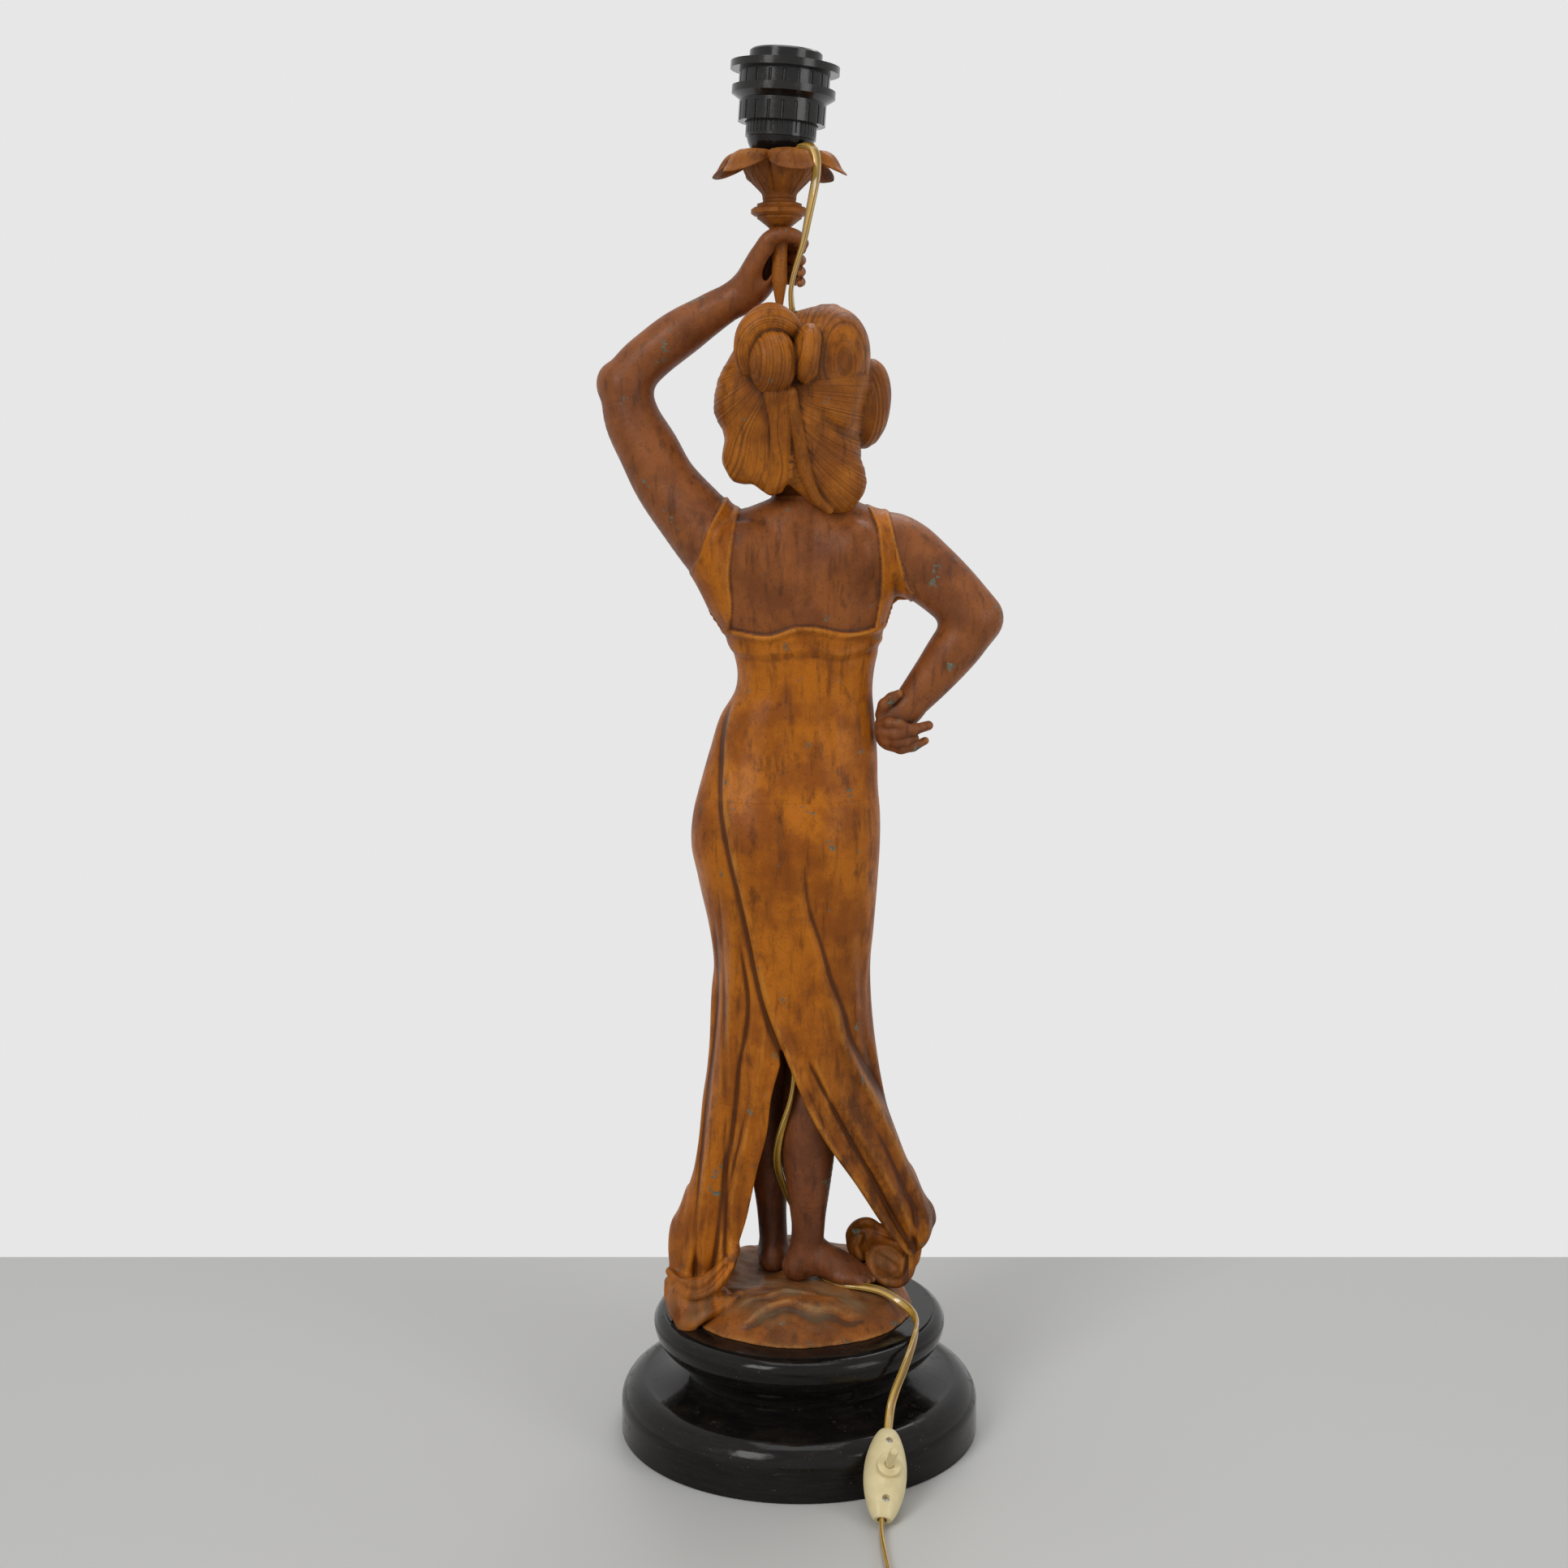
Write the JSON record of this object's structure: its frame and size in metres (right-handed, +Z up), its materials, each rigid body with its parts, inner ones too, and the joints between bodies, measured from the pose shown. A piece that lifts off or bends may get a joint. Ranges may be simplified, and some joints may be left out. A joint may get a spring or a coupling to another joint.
{
  "type": "figural table lamp",
  "caption": "Table lamp: a standing cast figure of a woman in a long draped dress holds up a torch with a screw lampholder, on a turned black wooden plinth, with a corded in-line switch.",
  "frame": {"origin": "centre of the plinth's underside, on the table", "axes": "+Z up; the figure's back faces -Y and its front faces +Y; +X is to the right seen from behind, the side of the figure's right hand"},
  "size_m": [0.2279, 0.4146, 0.7942],
  "materials": {
    "plinth_wood": "gloss",
    "felt": "matte",
    "steel": "satin",
    "brass": "satin",
    "skin_patina": "satin",
    "dress_patina": "satin",
    "hair_patina": "satin",
    "torch_patina": "satin",
    "mound_patina": "satin",
    "holder_plastic": "gloss",
    "porcelain": "gloss",
    "cream_plastic": "satin",
    "cord_plastic": "gloss",
    "tie_wire": "matte"
  },
  "bodies": {
    "lamp": {"base_nut": "steel", "base_stud": "steel", "base_washer": "steel", "centre_contact": "brass", "cord_coil": "cord_plastic", "cord_inner": "cord_plastic", "cord_lead": "cord_plastic", "cord_lower": "cord_plastic", "cord_tail": "cord_plastic", "cord_tie": "tie_wire", "cord_upper": "cord_plastic", "felt_pad": "felt", "hair_casting": "hair_patina", "head_casting": "skin_patina", "holder_cap": "holder_plastic", "holder_insert": "porcelain", "holder_skirt": "holder_plastic", "leaf_cup": "torch_patina", "left_arm_casting": "skin_patina", "left_drapery": "dress_patina", "left_hand_casting": "skin_patina", "left_leg_casting": "skin_patina", "mound_casting": "mound_patina", "nipple_nut": "steel", "nipple_tube": "steel", "plinth_lower": "plinth_wood", "plinth_upper": "plinth_wood", "plug_body": "cream_plastic", "plug_pins": "brass", "plug_relief": "cream_plastic", "right_arm_casting": "skin_patina", "right_drapery": "dress_patina", "right_hand_casting": "skin_patina", "right_leg_casting": "skin_patina", "screw_shell": "brass", "side_contact": "brass", "skirt_casting": "dress_patina", "switch_collar": "brass", "switch_contacts": "brass", "switch_screws": "brass", "switch_shell_bottom": "cream_plastic", "switch_shell_top": "cream_plastic", "terminal_screws": "brass", "torch_handle": "torch_patina", "torch_knop": "torch_patina", "torso_casting": "dress_patina"},
    "shade_ring_lower": {"shade_ring_lower": "holder_plastic"},
    "shade_ring_upper": {"shade_ring_upper": "holder_plastic"},
    "switch_button": {"switch_button": "cream_plastic"}
  },
  "joints": [
    {"name": "shade_ring_lower_turn", "type": "hinge", "parent": "lamp", "child": "shade_ring_lower", "pos_m": [-0.0115, 0, 0.738], "axis": [0.0698, 0, 0.9976], "continuous": true},
    {"name": "shade_ring_upper_turn", "type": "hinge", "parent": "lamp", "child": "shade_ring_upper", "pos_m": [-0.0115, 0, 0.738], "axis": [0.0698, 0, 0.9976], "continuous": true},
    {"name": "switch_button_press", "type": "slide", "parent": "lamp", "child": "switch_button", "axis": [0.1697, -0.537, 0.8263], "range_m": [-0.003, 0], "stiffness_N_per_m": 400}
  ]
}
